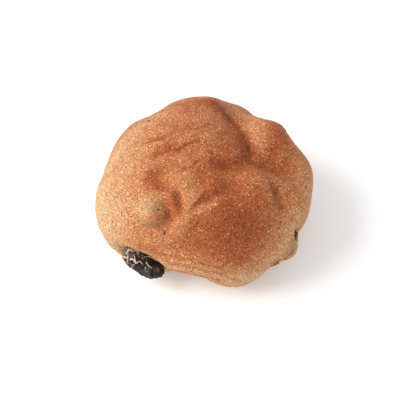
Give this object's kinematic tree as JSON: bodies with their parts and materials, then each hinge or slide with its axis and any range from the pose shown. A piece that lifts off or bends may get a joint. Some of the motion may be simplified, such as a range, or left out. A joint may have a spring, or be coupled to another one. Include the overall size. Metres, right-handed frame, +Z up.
{
  "type": "raisin bread roll",
  "caption": "Small round bread roll with a browned, dimpled crust and raisins showing at its lower edge, standing on a flat foot.",
  "frame": {"origin": "centre of the roll's plan outline box, on the plane of its flat foot", "axes": "+Z up from the foot to the crown, the shortest way; +X along the widest way, to the right when the front raisin faces the viewer's lower left; +Y towards the back"},
  "size_m": [0.0756, 0.0712, 0.0422],
  "materials": {
    "crust": "dry matte baked crust with fine speckles, paler towards the foot",
    "raisin_skin": "wrinkled dark purple-black skin with a slight sheen"
  },
  "bodies": {
    "root": {"bread": "crust", "raisin_front": "raisin_skin", "raisin_side": "raisin_skin"}
  },
  "joints": []
}
